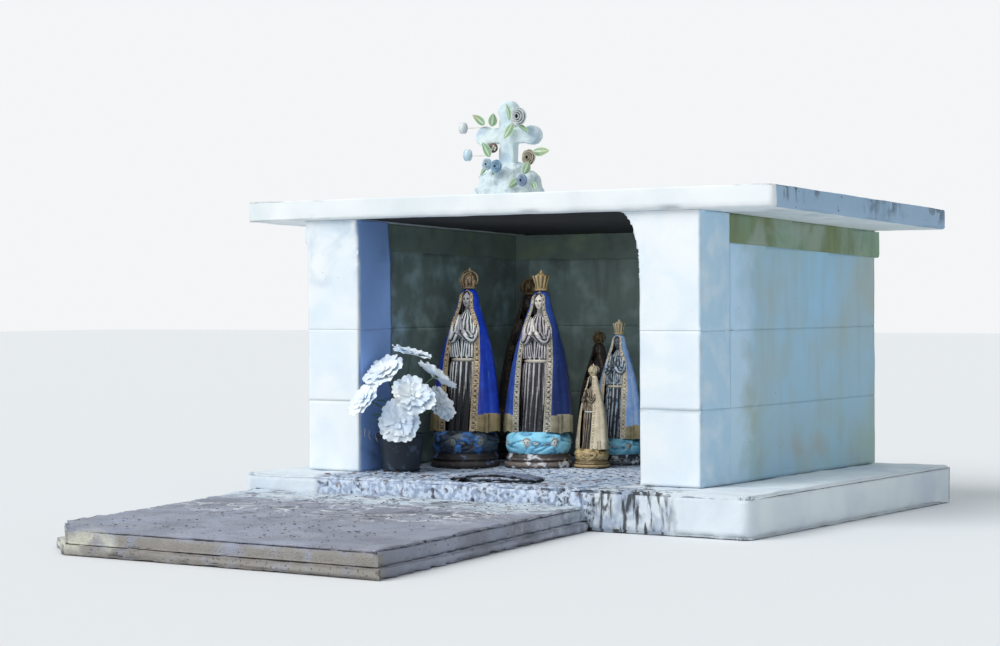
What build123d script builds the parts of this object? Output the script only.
from build123d import *
import math
import os

# A low wayside shrine of rendered concrete blocks with a thin roof slab.
# Millimetres. +Z up, the front faces -Y, +X to the right seen from the front.
# The origin is on the ground, midway between the piers, in their front plane.

# Ground works
FLOOR_TOP = 110.0
SLAB_LEFT = 751.0
SLAB_RIGHT = 860.0
SLAB_FRONT = 160.0
SLAB_CORNER = 30.0
SLAB_EDGE = 8.0
PLATFORM_TOP = 65.0
PLATFORM_BASE_TOP = 27.0
PLATFORM_BASE_LEDGE = 14.0
PLATFORM_FRONT = 1245.0
PLATFORM_RIGHT_FRONT = 550.0
PLATFORM_RIGHT_BACK = 386.0
PLATFORM_LEFT_FRONT = 372.0
PLATFORM_LEFT_BACK = 716.0
PLATFORM_CORNER_CUT = 128.0
PLATFORM_EDGE = 5.0

# Piers and walls
HALF_WIDTH = 642.0
PIER_WIDTH = 186.0
PIER_DEPTH = 155.0
COURSE_LOWER = 197.0
COURSE_MIDDLE = 203.0
SIDE_WALL = 147.0
BACK_WALL = 190.0
OUTER_DEPTH = 1045.0
HAUNCH_REACH = 62.0
HAUNCH_DROP = 174.0
FLARE_HEIGHT = 120.0
FLARE_OUT = 13.0
FLARE_IN = 9.0

# Beam and roof
NICHE_HEIGHT = 710.0
ROOF_FALL = 0.031
ROOF_THICKNESS = 59.0
ROOF_LEFT = 206.0
ROOF_RIGHT = 216.0
ROOF_FRONT = 20.0
ROOF_BACK = 15.0
ROOF_EDGE = 5.0
ROOF_END_SLANT = 8.0
BEAM_DEPTH = 77.0
BEAM_BACK = 40.0

# Cross on the roof
CROSS_X = -93.0
CROSS_Y = 220.0
CROSS_TURN = 6.0
CROSS_HEIGHT = 178.0
CROSS_SPAN = 194.0
CROSS_BAR = 40.0
CROSS_THICKNESS = 26.0
CROSS_LOBE = 25.0
CROSS_ARM_LEVEL = 80.0
MOUND_HEIGHT = 98.0
MOUND_TOP_RADIUS = 34.0
MOUND_FOOT_RADIUS = 118.0
MOUND_SINK = 12.0
MOUND_SIDES = 11
MOUND_RUGGED = 0.09
ROSE_RADIUS = 15.0
ROSE_ASIDE = 14.0
TOP_ROSE_DROP = 30.0
ARM_ROSE_DROP = 8.0
LOW_ROSE_LEVEL = 34.0
LEAF_LENGTH = 30.0
LEAF_WIDTH = 12.0
LEAF_THICKNESS = 2.0

# Figures, sizes of the tall casting
TALL_HEIGHT = 516.0
PLINTH_RADIUS = 103.0
PLINTH_HEIGHT = 40.0
CLOUD_HEIGHT = 62.0
CLOUD_RADIUS = 88.0
BILLOW_RADIUS = 26.0
CHERUB_RADIUS = 12.0
CHERUB_COUNT = 7
HEM_RADIUS = 104.0
HEAD_RADIUS = 16.0
HEAD_HEIGHT = 48.0
NECK_RADIUS = 10.0
MANTLE_DEPTH = 0.66
OPENING_HALF = 40.0
FACE_OPENING_HALF = 15.0
BORDER_WIDTH = 17.0
BORDER_RISE = 2.0
PLEATS = 11
PLEAT_DEPTH = 0.07
BELT_HEIGHT = 9.0
BELT_OUT = 2.5
SLEEVE_RADIUS = 10.0
SLEEVE_FALL = 62.0
SLEEVE_THICKNESS = 6.0
HAND_LENGTH = 38.0
CROWN_HEIGHT = 64.0
CROWN_RADIUS = 26.0
CROWN_BAND_RADIUS = 19.0
CROWN_BAND_HEIGHT = 9.0
CROWN_BAR = 3.0
CROWN_ARCHES = 4
CROWN_FLUTES = 10

# Pot of flowers
POT_GAP = 6.0
POT_Y = 90.0
POT_HEIGHT = 105.0
POT_TOP_RADIUS = 72.0
POT_FOOT_RADIUS = 52.0
POT_WALL = 3.0
POT_RIM = 6.0
FILLING_DROP = 6.0
BLOSSOM_RADIUS = 58.0
BLOSSOM_HEIGHT = 24.0
BLOSSOM_WALL = 5.0
STEM_RADIUS = 2.5
CALYX_RADIUS = 9.0
HOLDER_RADIUS = 26.0
HOLDER_HEIGHT = 4.0

# Charred board
BOARD_LENGTH = 250.0
BOARD_WIDTH = 85.0
BOARD_THICKNESS = 9.0
BOARD_RISE = 13.0
BOARD_X = 60.0
BOARD_Y = -70.0
BOARD_TURN = 14.0

CLEARANCE = 0.3

LOWER_JOINT = FLOOR_TOP + COURSE_LOWER
MIDDLE_JOINT = LOWER_JOINT + COURSE_MIDDLE
PIER_INNER = HALF_WIDTH - PIER_WIDTH
WALL_INNER = HALF_WIDTH - SIDE_WALL
INNER_DEPTH = OUTER_DEPTH - BACK_WALL
POT_X = -PIER_INNER + POT_TOP_RADIUS + POT_GAP


def underside(y):
    """Height of the roof's underside at a distance y behind the front plane."""
    return FLOOR_TOP + NICHE_HEIGHT - ROOF_FALL * y


def roof_top(y):
    """Height of the roof's upper face at a distance y behind the front plane."""
    return underside(y) + ROOF_THICKNESS


def beam_seat(y):
    """Height of the wall's top, under the bond beam."""
    return underside(y) - BEAM_DEPTH


def block(x0, x1, y0, y1, z0, z1):
    """Plain block between two corners."""
    size = (x1 - x0, y1 - y0, z1 - z0)
    return Pos(x0, y0, z0) * Box(*size, align=(Align.MIN, Align.MIN, Align.MIN))


def side_profile(x0, x1, outline):
    """Prism whose (y, z) outline is extruded along X from x0 to x1."""
    face = Plane.YZ.offset(x0) * Polygon(*outline, align=None)
    return extrude(face, x1 - x0)


def sloped_block(x0, x1, y0, y1, z0, top):
    """Block whose top follows the height function top(y)."""
    outline = [(y0, z0), (y1, z0), (y1, top(y1)), (y0, top(y0))]
    return side_profile(x0, x1, outline)


def foundation_slab():
    """Footing and niche floor in one pour, with a rounded front left corner."""
    back = OUTER_DEPTH + BEAM_BACK
    slab = block(-SLAB_LEFT, SLAB_RIGHT, -SLAB_FRONT, back, 0, FLOOR_TOP)
    corners = slab.edges().filter_by(Axis.Z).group_by(Axis.Y)[0]
    slab = fillet(corners, SLAB_CORNER)
    rim = slab.edges().filter_by(Plane.XY).group_by(Axis.Z)[-1]
    return chamfer(rim, SLAB_EDGE)


def platform_outline(ledge):
    """Plan of the platform, grown by a ledge at its front and sides."""
    front = -PLATFORM_FRONT - ledge
    back = -SLAB_FRONT
    left_middle = (PLATFORM_LEFT_FRONT + PLATFORM_LEFT_BACK) / 2
    middle = -(PLATFORM_FRONT + SLAB_FRONT) / 2
    return [
        (PLATFORM_RIGHT_FRONT + ledge, front),
        (PLATFORM_RIGHT_BACK + ledge, back),
        (-PLATFORM_LEFT_BACK - ledge, back),
        (-left_middle - PLATFORM_CORNER_CUT / 4 - ledge, middle),
        (-PLATFORM_LEFT_FRONT - PLATFORM_CORNER_CUT - ledge, front + PLATFORM_CORNER_CUT),
        (-PLATFORM_LEFT_FRONT, front),
    ]


def platform_base():
    """Smooth lower course that the platform stands on."""
    face = Polygon(*platform_outline(PLATFORM_BASE_LEDGE), align=None)
    return extrude(face, PLATFORM_BASE_TOP)


def front_platform():
    """Concrete slab in front of the shrine, its front left corner broken off."""
    face = Pos(0, 0, PLATFORM_BASE_TOP) * Polygon(*platform_outline(0), align=None)
    slab = extrude(face, PLATFORM_TOP - PLATFORM_BASE_TOP)
    top = slab.edges().filter_by(Plane.XY).group_by(Axis.Z)[-1]
    outer = [edge for edge in top if edge.center().Y < -SLAB_FRONT - 1]
    return chamfer(outer, PLATFORM_EDGE)


def left_pier_upper():
    """Top block of the left pier, leaning outwards under the roof."""
    top = FLOOR_TOP + NICHE_HEIGHT
    flare = top - FLARE_HEIGHT
    outline = [
        (-HALF_WIDTH, MIDDLE_JOINT),
        (-PIER_INNER, MIDDLE_JOINT),
        (-PIER_INNER, flare),
        (-PIER_INNER - FLARE_IN, top),
        (-HALF_WIDTH - FLARE_OUT, top),
        (-HALF_WIDTH, flare),
    ]
    return under_roof(front_prism(outline))


def front_prism(outline):
    """Prism whose (x, z) outline is extruded from the front plane to the pier's back."""
    face = Plane.XZ * Polygon(*outline, align=None)
    return extrude(face, -PIER_DEPTH)


def under_roof(pier):
    """The pier with its top cut to the roof's slope."""
    top = FLOOR_TOP + NICHE_HEIGHT
    reach = HALF_WIDTH + FLARE_OUT + 1
    wedge = [(0, top), (PIER_DEPTH, underside(PIER_DEPTH)), (PIER_DEPTH, top + 1), (0, top + 1)]
    return pier - side_profile(-reach, reach, wedge)


def right_pier_upper():
    """Top block of the right pier, with a hollow-curved haunch into the opening."""
    top = FLOOR_TOP + NICHE_HEIGHT
    start = (PIER_INNER, top - HAUNCH_DROP)
    finish = (PIER_INNER - HAUNCH_REACH, top)
    centre = (PIER_INNER - HAUNCH_REACH, top - HAUNCH_DROP)
    curve = EllipticalCenterArc(centre, HAUNCH_REACH, HAUNCH_DROP, start_angle=0, arc_size=90)
    rest = Polyline(
        finish, (HALF_WIDTH, top), (HALF_WIDTH, MIDDLE_JOINT), (PIER_INNER, MIDDLE_JOINT), start
    )
    face = Plane.XZ * make_face(curve + rest)
    return under_roof(extrude(face, -PIER_DEPTH))


def roof_slab():
    """Thin roof slab, falling to the back, its left end cast out of square."""
    left = HALF_WIDTH + ROOF_LEFT
    right = HALF_WIDTH + ROOF_RIGHT
    y0 = -ROOF_FRONT
    y1 = OUTER_DEPTH + ROOF_BACK
    outline = [(y0, underside(y0)), (y1, underside(y1)), (y1, roof_top(y1)), (y0, roof_top(y0))]
    slab = side_profile(-left, right, outline)
    slab = slab - end_wedge(-left, y0, y1)
    upper = slab.faces().sort_by(Axis.Z)[-1].edges()
    return fillet(upper, ROOF_EDGE)


def end_wedge(x, y0, y1):
    """Sliver cut from below one end of the roof, so that the end face slants."""
    low = underside(y1) - 1
    high = roof_top(y0)
    outline = [(x - 1, low), (x + ROOF_END_SLANT, low), (x, high), (x - 1, high)]
    face = Plane.XZ.offset(-y1 - 1) * Polygon(*outline, align=None)
    return extrude(face, y1 - y0 + 2)


def cross_mound():
    """Rugged plaster mound under the cross, seated on the sloping roof."""
    levels = [(0.0, 1.0), (0.2, 0.84), (0.45, 0.62), (0.7, 0.48), (0.88, 0.22), (1.0, 0.0)]
    span = MOUND_FOOT_RADIUS - MOUND_TOP_RADIUS
    floor = roof_top(CROSS_Y)
    sections = []
    for share, swell in levels:
        radius = MOUND_TOP_RADIUS + span * swell
        height = floor - MOUND_SINK + (MOUND_HEIGHT + MOUND_SINK) * share
        sections.append(Pos(CROSS_X, CROSS_Y, height) * mound_section(radius, share))
    mound = loft(sections, ruled=True)
    return mound - roof_body()


def mound_section(radius, share):
    """Outline of the mound at a share of its height, uneven in a way of its own."""
    points = []
    for index in range(MOUND_SIDES):
        angle = math.tau * index / MOUND_SIDES
        uneven = 1 + MOUND_RUGGED * math.sin(2.3 * index + 9 * share)
        points.append((radius * uneven * math.cos(angle), radius * uneven * math.sin(angle)))
    return Polygon(*points, align=None)


def roof_body():
    """Space taken by the roof, for seating what stands on it."""
    reach = MOUND_FOOT_RADIUS * 1.5
    y0 = CROSS_Y - reach
    y1 = CROSS_Y + reach
    outline = [(y0, underside(y0)), (y1, underside(y1)), (y1, roof_top(y1)), (y0, roof_top(y0))]
    return side_profile(CROSS_X - reach, CROSS_X + reach, outline)


def at_cross(shape, height=0.0):
    """Place a shape made about the cross's foot, on the mound's top."""
    return Pos(CROSS_X, CROSS_Y, roof_top(CROSS_Y) + MOUND_HEIGHT + height) * Rot(0, 0, CROSS_TURN) * shape


def roof_cross():
    """Plaster cross whose three free ends are rounded lobes."""
    half = CROSS_BAR / 2
    shaft = Rectangle(CROSS_BAR, CROSS_HEIGHT - CROSS_LOBE, align=(Align.CENTER, Align.MIN))
    arms = Pos(0, CROSS_ARM_LEVEL) * Rectangle(CROSS_SPAN - 2 * CROSS_LOBE, CROSS_BAR)
    outline = shaft + arms
    top = CROSS_HEIGHT - CROSS_LOBE
    side = CROSS_SPAN / 2 - CROSS_LOBE
    for x, z in ((0, top), (-side, CROSS_ARM_LEVEL), (side, CROSS_ARM_LEVEL)):
        outline += Pos(x, z) * Circle(CROSS_LOBE)
    face = Plane.XZ.offset(-CROSS_THICKNESS / 2) * outline
    cross = extrude(face, CROSS_THICKNESS)
    return at_cross(cross)


PARTS = {}


def build_structure():
    """Foundation, platform, piers, walls, beam and roof."""
    PARTS["foundation_slab"] = foundation_slab()
    PARTS["platform_base"] = platform_base()
    PARTS["front_platform"] = front_platform()
    courses = {
        "lower": (FLOOR_TOP, LOWER_JOINT),
        "middle": (LOWER_JOINT, MIDDLE_JOINT),
    }
    for name, (z0, z1) in courses.items():
        PARTS[f"left_pier_{name}"] = block(-HALF_WIDTH, -PIER_INNER, 0, PIER_DEPTH, z0, z1)
        PARTS[f"right_pier_{name}"] = block(PIER_INNER, HALF_WIDTH, 0, PIER_DEPTH, z0, z1)
        PARTS[f"left_wall_{name}"] = block(-HALF_WIDTH, -WALL_INNER, PIER_DEPTH, OUTER_DEPTH, z0, z1)
        PARTS[f"right_wall_{name}"] = block(WALL_INNER, HALF_WIDTH, PIER_DEPTH, OUTER_DEPTH, z0, z1)
        PARTS[f"back_wall_{name}"] = block(-WALL_INNER, WALL_INNER, INNER_DEPTH, OUTER_DEPTH, z0, z1)
    PARTS["left_pier_upper"] = left_pier_upper()
    PARTS["right_pier_upper"] = right_pier_upper()
    z0 = MIDDLE_JOINT
    PARTS["left_wall_upper"] = sloped_block(-HALF_WIDTH, -WALL_INNER, PIER_DEPTH, OUTER_DEPTH, z0, beam_seat)
    PARTS["right_wall_upper"] = sloped_block(WALL_INNER, HALF_WIDTH, PIER_DEPTH, OUTER_DEPTH, z0, beam_seat)
    PARTS["back_wall_upper"] = sloped_block(-WALL_INNER, WALL_INNER, INNER_DEPTH, OUTER_DEPTH, z0, beam_seat)
    back = OUTER_DEPTH + BEAM_BACK
    PARTS["left_beam"] = beam(-HALF_WIDTH, -WALL_INNER, PIER_DEPTH, back)
    PARTS["right_beam"] = beam(WALL_INNER, HALF_WIDTH, PIER_DEPTH, back)
    PARTS["back_beam"] = beam(-WALL_INNER, WALL_INNER, INNER_DEPTH, back)
    PARTS["roof_slab"] = roof_slab()


def beam(x0, x1, y0, y1):
    """Stretch of the bond beam, between the walls and the roof."""
    outline = [(y0, beam_seat(y0)), (y1, beam_seat(y1)), (y1, underside(y1)), (y0, underside(y0))]
    return side_profile(x0, x1, outline)


def plinth_and_cloud():
    """Stepped round plinth with a billowing cloud and cherubs' heads on it."""
    foot = PLINTH_HEIGHT * 0.45
    shoulder = PLINTH_RADIUS * 0.95
    neck = PLINTH_RADIUS * 0.92
    ledge = PLINTH_HEIGHT * 0.75
    low = Polyline((0, 0), (PLINTH_RADIUS, 0), (PLINTH_RADIUS, foot), (shoulder, foot))
    hollow = ThreePointArc((shoulder, foot), (neck, (foot + ledge) / 2), (shoulder, ledge))
    high = Polyline((shoulder, ledge), (neck, PLINTH_HEIGHT), (0, PLINTH_HEIGHT), (0, 0))
    plinth = revolve(Plane.XZ * make_face(low + hollow + high), Axis.Z)
    return plinth + cloud_drum() + cloud_relief()


def cloud_drum():
    """Round body of the cloud, a little barrelled."""
    top = PLINTH_HEIGHT + CLOUD_HEIGHT
    end = CLOUD_RADIUS * 0.92
    barrel = ThreePointArc((end, PLINTH_HEIGHT), (CLOUD_RADIUS, (PLINTH_HEIGHT + top) / 2), (end, top))
    rest = Polyline((end, top), (0, top), (0, PLINTH_HEIGHT), (end, PLINTH_HEIGHT))
    return revolve(Plane.XZ * make_face(barrel + rest), Axis.Z)


def cloud_relief():
    """Billows round the cloud with a cherub's head between each two."""
    turn = 360 / CHERUB_COUNT
    billow = Pos(0, BILLOW_RADIUS / 2 - CLOUD_RADIUS, PLINTH_HEIGHT + BILLOW_RADIUS) * Sphere(BILLOW_RADIUS)
    head = Pos(0, -CLOUD_RADIUS, PLINTH_HEIGHT + CLOUD_HEIGHT * 0.55) * Sphere(CHERUB_RADIUS)
    relief = [Rot(0, 0, turn * index) * head for index in range(CHERUB_COUNT)]
    return relief + [Rot(0, 0, turn * (index + 0.5)) * billow for index in range(CHERUB_COUNT)]


# Outlines as shares of the body's height and of the hem's radius
MANTLE_LOW = [(0.0, 1.0), (0.12, 0.99), (0.3, 0.9), (0.5, 0.74)]
MANTLE_HIGH = [(0.68, 0.56), (0.82, 0.4), (0.93, 0.31), (1.0, 0.2)]
ROBE_SHAPE = [(0.0, 0.54), (0.15, 0.47), (0.5, 0.34), (0.6, 0.38), (0.74, 0.39), (0.84, 0.16)]
BODY_FOOT = PLINTH_HEIGHT + CLOUD_HEIGHT
BODY_HEIGHT = TALL_HEIGHT - BODY_FOOT


def body_level(share):
    """Height of a share of the figure's body, above the tall casting's foot."""
    return BODY_FOOT + BODY_HEIGHT * share


def mantle(radius):
    """Closed mantle from hem to hood, by its hem's radius."""
    sections = []
    for share, width in MANTLE_LOW + MANTLE_HIGH:
        half = HEM_RADIUS * width + radius - HEM_RADIUS
        sections.append(Pos(0, 0, body_level(share)) * Ellipse(half, half * MANTLE_DEPTH))
    return loft(sections)


def opening(grown):
    """Upright prism through the mantle's front: wide over the robe, round over the face."""
    wide = OPENING_HALF + grown
    narrow = FACE_OPENING_HALF + grown
    chest = body_level(0.73)
    chin = body_level(0.86)
    brow = body_level(0.93)
    foot = BODY_FOOT - 1
    hood = ThreePointArc((narrow, brow), (0, brow + narrow), (-narrow, brow))
    right = Polyline((0, foot), (wide, foot), (wide, chest), (narrow, chin), (narrow, brow))
    left = Polyline((-narrow, brow), (-narrow, chin), (-wide, chest), (-wide, foot), (0, foot))
    face = Plane.XZ.offset(HEM_RADIUS * 0.12) * make_face(right + hood + left)
    return extrude(face, HEM_RADIUS)


def pleated_robe():
    """Robe in sharp pleats, gathered at the belt."""
    sections = []
    for share, width in ROBE_SHAPE:
        points = []
        for index in range(2 * PLEATS):
            angle = math.pi * index / PLEATS
            radius = HEM_RADIUS * width * (1 + PLEAT_DEPTH * (-1) ** index)
            points.append((radius * math.cos(angle), radius * math.sin(angle)))
        sections.append(Pos(0, 0, body_level(share)) * Polygon(*points, align=None))
    return loft(sections, ruled=True)


def arm(side):
    """Sleeve from elbow to wrist with its hanging fall, and one flat hand pointing up."""
    elbow = Vector(side * OPENING_HALF * 0.9, -HEM_RADIUS * 0.28, body_level(0.66))
    wrist = Vector(side * SLEEVE_RADIUS * 0.6, -HEM_RADIUS * 0.5, body_level(0.72))
    length = (wrist - elbow).length
    bottom = (Align.CENTER, Align.CENTER, Align.MIN)
    tube = Cone(SLEEVE_RADIUS, SLEEVE_RADIUS * 0.8, length, align=bottom)
    sleeve = Plane(elbow, z_dir=wrist - elbow) * tube
    outline = Polygon((0, 0), (0, -SLEEVE_FALL), (length * 0.7, -SLEEVE_FALL), (length, 0), align=None)
    along = Vector(wrist.X - elbow.X, wrist.Y - elbow.Y, 0)
    hanging = Plane(elbow, x_dir=along, z_dir=along.cross(Vector(0, 0, 1)))
    fall = extrude(hanging * outline, SLEEVE_THICKNESS / 2, both=True)
    palm = Cone(SLEEVE_RADIUS * 0.55, SLEEVE_RADIUS * 0.2, HAND_LENGTH, align=bottom)
    hand = Pos(side * SLEEVE_RADIUS * 0.3, wrist.Y, wrist.Z) * Rot(12, 0, 0) * palm
    return sleeve + fall + hand


def robed_body():
    """Praying figure in one casting: open bordered mantle, pleated robe, arms and head."""
    border = mantle(HEM_RADIUS + BORDER_RISE) & (opening(BORDER_WIDTH) - opening(0))
    cloak = mantle(HEM_RADIUS) - opening(0)
    robe = pleated_robe()
    waist = HEM_RADIUS * 0.34 * (1 + PLEAT_DEPTH) + BELT_OUT
    belt = Pos(0, 0, body_level(0.5)) * Cylinder(waist, BELT_HEIGHT)
    chin = body_level(0.92) - HEAD_HEIGHT / 2
    neck = Pos(0, -HEM_RADIUS * 0.06, chin) * Cylinder(NECK_RADIUS, HEAD_HEIGHT)
    return cloak + border + robe + belt + neck + head() + arm(-1) + arm(1)


def head():
    """Egg-shaped head inside the hood."""
    half = HEAD_HEIGHT / 2
    edge = EllipticalCenterArc((0, 0), HEAD_RADIUS, half, start_angle=-90, arc_size=180)
    egg = revolve(Plane.XZ * make_face(edge + Line((0, half), (0, -half))), Axis.Z)
    return Pos(0, -HEM_RADIUS * 0.08, body_level(0.92)) * egg


def crown_band():
    """Ring round the hood that every crown stands on."""
    hollow = Cylinder(CROWN_BAND_RADIUS - CROWN_BAR, CROWN_BAND_HEIGHT)
    ring = Cylinder(CROWN_BAND_RADIUS, CROWN_BAND_HEIGHT) - hollow
    floor = Pos(0, 0, -CROWN_BAND_HEIGHT / 2 + CROWN_BAR / 2) * Cylinder(CROWN_BAND_RADIUS, CROWN_BAR)
    return Pos(0, 0, TALL_HEIGHT + CLEARANCE + CROWN_BAND_HEIGHT / 2) * (ring + floor)


def arched_crown():
    """Open crown whose bars arch from the band to a ball on top."""
    ball = CROWN_BAR * 1.5
    low = TALL_HEIGHT + CLEARANCE + CROWN_BAND_HEIGHT - 1
    high = TALL_HEIGHT + CLEARANCE + CROWN_HEIGHT - ball
    middle = (low + high) / 2
    foot = CROWN_BAND_RADIUS
    inside = foot - CROWN_BAR
    wide = CROWN_RADIUS
    lean = wide - CROWN_BAR
    outer = Spline((foot, low), (wide, middle), (0, high), (-wide, middle), (-foot, low))
    inner = Spline((-inside, low), (-lean, middle), (0, high - CROWN_BAR), (lean, middle), (inside, low))
    ends = Line((-foot, low), (-inside, low)) + Line((inside, low), (foot, low))
    bar = extrude(Plane.XZ * make_face(outer + inner + ends), CROWN_BAR / 2, both=True)
    arches = [Rot(0, 0, 180 / CROWN_ARCHES * index) * bar for index in range(CROWN_ARCHES)]
    return crown_band() + arches + Pos(0, 0, high) * Sphere(ball)


def fluted_crown():
    """Flared cup in flutes, with a domed cap and a knob inside its rim."""
    low = TALL_HEIGHT + CLEARANCE + CROWN_BAND_HEIGHT - 1
    rim = low + CROWN_HEIGHT * 0.55
    foot = Pos(0, 0, low) * flutes(CROWN_BAND_RADIUS - CROWN_BAR / 2)
    cup = loft([foot, Pos(0, 0, rim) * flutes(CROWN_RADIUS)], ruled=True)
    hollow = Pos(0, 0, rim) * Sphere(CROWN_RADIUS * 0.8)
    dome = Pos(0, 0, rim - CROWN_RADIUS * 0.3) * Sphere(CROWN_RADIUS * 0.7)
    knob = CROWN_BAR * 1.5
    top = TALL_HEIGHT + CLEARANCE + CROWN_HEIGHT - knob
    stalk = Pos(0, 0, (rim + top) / 2) * Cylinder(CROWN_BAR * 0.8, top - rim)
    return crown_band() + (cup - hollow) + dome + stalk + Pos(0, 0, top) * Sphere(knob)


def flutes(radius):
    """Star outline of the fluted cup, by its outer radius."""
    points = []
    for index in range(2 * CROWN_FLUTES):
        angle = math.pi * index / CROWN_FLUTES
        reach = radius * (1 - 0.12 * (index % 2))
        points.append((reach * math.cos(angle), reach * math.sin(angle)))
    return Polygon(*points, align=None)


# Each figure's distances from the left wall and the back wall in plinth radii,
# its turn in degrees and its size as a share of the tall casting
FIGURES = {
    "tall_left": (1.6, 5.0, 12.0, 1.0, arched_crown),
    "tall_right": (3.495, 4.126, 12.0, 0.985, fluted_crown),
    "tall_back": (1.262, 1.233, 10.0, 0.965, arched_crown),
    "mid_right": (4.922, 2.184, 6.0, 0.735, fluted_crown),
    "mid_back": (3.592, 1.068, 0.0, 0.68, arched_crown),
    "small_front": (4.932, 3.602, -8.0, 0.515, arched_crown),
}


def build_figures():
    """The six plaster figures, each on its base and with its crown."""
    base = plinth_and_cloud()
    body = robed_body()
    crowns = {make: make() for make in (arched_crown, fluted_crown)}
    for name, (from_left, from_back, turn, scale, crown) in FIGURES.items():
        x = -WALL_INNER + from_left * PLINTH_RADIUS
        y = INNER_DEPTH - from_back * PLINTH_RADIUS
        place = Pos(x, y, FLOOR_TOP) * Rot(0, 0, turn)
        PARTS[f"{name}_base"] = place * base.scale(scale)
        PARTS[f"{name}_figure"] = place * body.scale(scale)
        PARTS[f"{name}_crown"] = place * crowns[crown].scale(scale)


def flower_pot():
    """Thin black pot with a turned-out rim, open at the top."""
    slope = (POT_TOP_RADIUS - POT_FOOT_RADIUS) / POT_HEIGHT
    inner_foot = POT_FOOT_RADIUS - POT_WALL + slope * POT_WALL
    profile = Polyline(
        (0, 0),
        (POT_FOOT_RADIUS, 0),
        (POT_TOP_RADIUS - POT_RIM, POT_HEIGHT - POT_RIM),
        (POT_TOP_RADIUS, POT_HEIGHT - POT_RIM),
        (POT_TOP_RADIUS, POT_HEIGHT),
        (POT_TOP_RADIUS - POT_RIM - POT_WALL, POT_HEIGHT),
        (inner_foot, POT_WALL),
        (0, POT_WALL),
        close=True,
    )
    return at_pot(revolve(Plane.XZ * make_face(profile), Axis.Z))


def at_pot(shape):
    """Place a shape made about the pot's foot, on the niche floor."""
    return Pos(POT_X, POT_Y, FLOOR_TOP) * shape


def pot_filling():
    """Dark filling that holds the stems, just below the rim."""
    slope = (POT_TOP_RADIUS - POT_FOOT_RADIUS) / POT_HEIGHT
    inner_foot = POT_FOOT_RADIUS - POT_WALL + slope * POT_WALL
    inner_top = POT_TOP_RADIUS - POT_RIM - POT_WALL
    rise = (inner_top - inner_foot) / (POT_HEIGHT - POT_WALL)
    top = POT_HEIGHT - FILLING_DROP
    profile = Polyline(
        (0, POT_WALL),
        (inner_foot - CLEARANCE, POT_WALL),
        (inner_foot - CLEARANCE + rise * (top - POT_WALL), top),
        (0, top),
        close=True,
    )
    return at_pot(revolve(Plane.XZ * make_face(profile), Axis.Z))


# Each blossom's place above the filling in blossom radii, and its two tilts in degrees
BLOSSOMS = {
    "top": ((0.76, -0.17, 4.05), (38, 12)),
    "upper_left": ((-0.21, -1.07, 3.17), (52, -14)),
    "left": ((-0.59, -2.21, 1.86), (74, -20)),
    "right": ((1.93, -0.34, 2.97), (42, 34)),
    "middle": ((1.1, -1.66, 2.03), (66, 14)),
    "low": ((0.1, -2.03, 0.79), (80, 6)),
    "shaded": ((1.91, 0.52, 1.6), (60, 40)),
}


def white_flowers():
    """Bunch of open cup-shaped blossoms on stems that rise from one holder."""
    bottom = (Align.CENTER, Align.CENTER, Align.MIN)
    bunch = Cylinder(HOLDER_RADIUS, HOLDER_HEIGHT, align=bottom)
    cup = blossom()
    for place, (tip, roll) in BLOSSOMS.values():
        base = Vector(*place) * BLOSSOM_RADIUS
        foot = Vector(base.X, base.Y, 0).normalized() * (HOLDER_RADIUS / 2) + Vector(0, 0, HOLDER_HEIGHT)
        stem = Cylinder(STEM_RADIUS, (base - foot).length, align=bottom)
        bunch += Pos(base) * Rot(tip, roll, 0) * cup + Plane(foot, z_dir=base - foot) * stem
    return at_pot(Pos(0, 0, POT_HEIGHT - FILLING_DROP) * bunch)


def blossom():
    """Shallow cup of petals on a round calyx, open upwards."""
    rim = BLOSSOM_RADIUS
    rise = BLOSSOM_HEIGHT
    lip_top = rise + BLOSSOM_WALL / 2
    belly = (rim * 0.55, rise * 0.3)
    outer = ThreePointArc((0, -CALYX_RADIUS / 2), belly, (rim, rise))
    lip = Line((rim, rise), (rim, lip_top))
    inner = ThreePointArc((rim, lip_top), (belly[0], belly[1] + BLOSSOM_WALL), (0, BLOSSOM_WALL))
    axis = Line((0, BLOSSOM_WALL), (0, -CALYX_RADIUS / 2))
    cup = revolve(Plane.XZ * make_face(outer + lip + inner + axis), Axis.Z)
    return cup + Sphere(CALYX_RADIUS)


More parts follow.
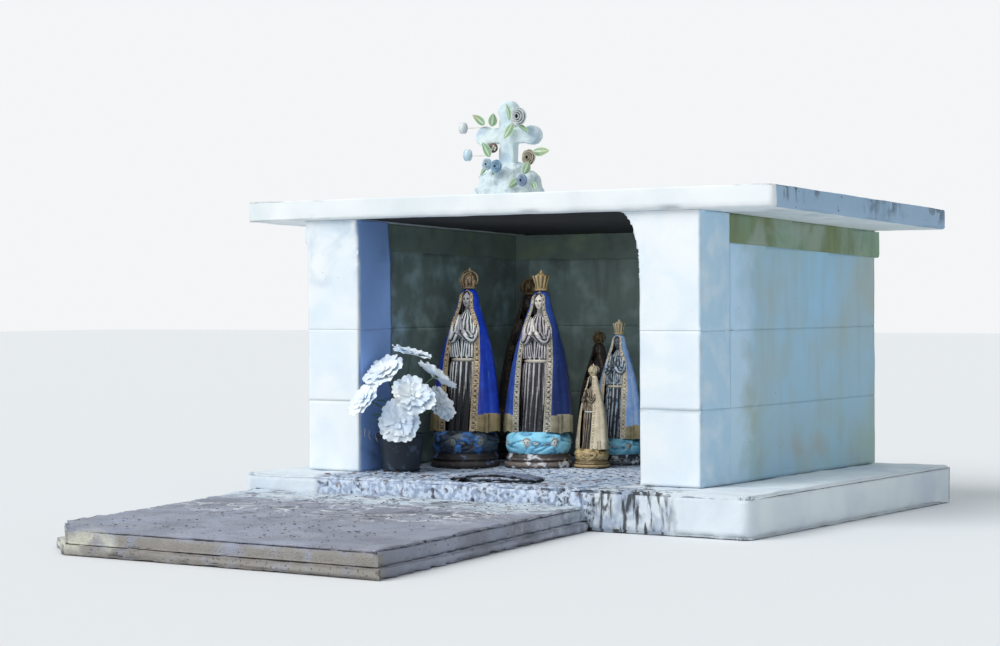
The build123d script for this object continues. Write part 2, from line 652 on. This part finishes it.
def charred_board():
    """Warped thin board that rests on its two ends."""
    half = BOARD_LENGTH / 2
    lower = ThreePointArc((-half, 0), (0, BOARD_RISE), (half, 0))
    thick = BOARD_THICKNESS
    upper = ThreePointArc((half, thick), (0, BOARD_RISE + thick), (-half, thick))
    ends = Line((half, 0), (half, thick)) + Line((-half, thick), (-half, 0))
    face = Plane.XZ.offset(-BOARD_WIDTH / 2) * make_face(lower + upper + ends)
    board = extrude(face, BOARD_WIDTH)
    return Pos(BOARD_X, BOARD_Y, FLOOR_TOP) * Rot(0, 0, BOARD_TURN) * board


def cross_roses():
    """Small roses with their leaves, fixed to the front of the mound and the cross."""
    front = -CROSS_THICKNESS / 2 - CLEARANCE
    places = [
        (ROSE_ASIDE, CROSS_HEIGHT - TOP_ROSE_DROP),
        (-CROSS_SPAN / 4, CROSS_ARM_LEVEL - ARM_ROSE_DROP),
        (ROSE_ASIDE, LOW_ROSE_LEVEL),
    ]
    roses = [at_cross(Pos(x, front, z) * Rot(90, 0, 0) * leafy_rose()) for x, z in places]
    return Compound(children=roses)


def leafy_rose():
    """One rose on three pointed leaves."""
    half = LEAF_LENGTH / 2
    far_edge = ThreePointArc((-half, 0), (0, LEAF_WIDTH / 2), (half, 0))
    near_edge = ThreePointArc((half, 0), (0, -LEAF_WIDTH / 2), (-half, 0))
    leaf = extrude(Pos(half, 0) * make_face(far_edge + near_edge), LEAF_THICKNESS)
    return rose() + [Rot(0, 0, turn) * leaf for turn in (100, 200, 335)]


def rose():
    """Rose bud: a cup with a rounded heart, its flat back at the origin."""
    profile = Polyline(
        (0, 0),
        (ROSE_RADIUS * 0.6, 0),
        (ROSE_RADIUS, ROSE_RADIUS * 0.5),
        (ROSE_RADIUS * 0.85, ROSE_RADIUS),
        (ROSE_RADIUS * 0.4, ROSE_RADIUS * 1.1),
        (0, ROSE_RADIUS * 1.3),
        close=True,
    )
    return revolve(Plane.XZ * make_face(profile), Axis.Z)


def build_fittings():
    """Everything that stands on the roof, on the floor and before the niche."""
    PARTS["cross_mound"] = cross_mound()
    PARTS["roof_cross"] = roof_cross()
    PARTS["cross_roses"] = cross_roses()
    PARTS["flower_pot"] = flower_pot()
    PARTS["pot_filling"] = pot_filling()
    PARTS["white_flowers"] = white_flowers()
    PARTS["charred_board"] = charred_board()


build_structure()
build_figures()
build_fittings()
os.makedirs("parts", exist_ok=True)
for name, shape in PARTS.items():
    export_step(shape, f"parts/{name}.step")
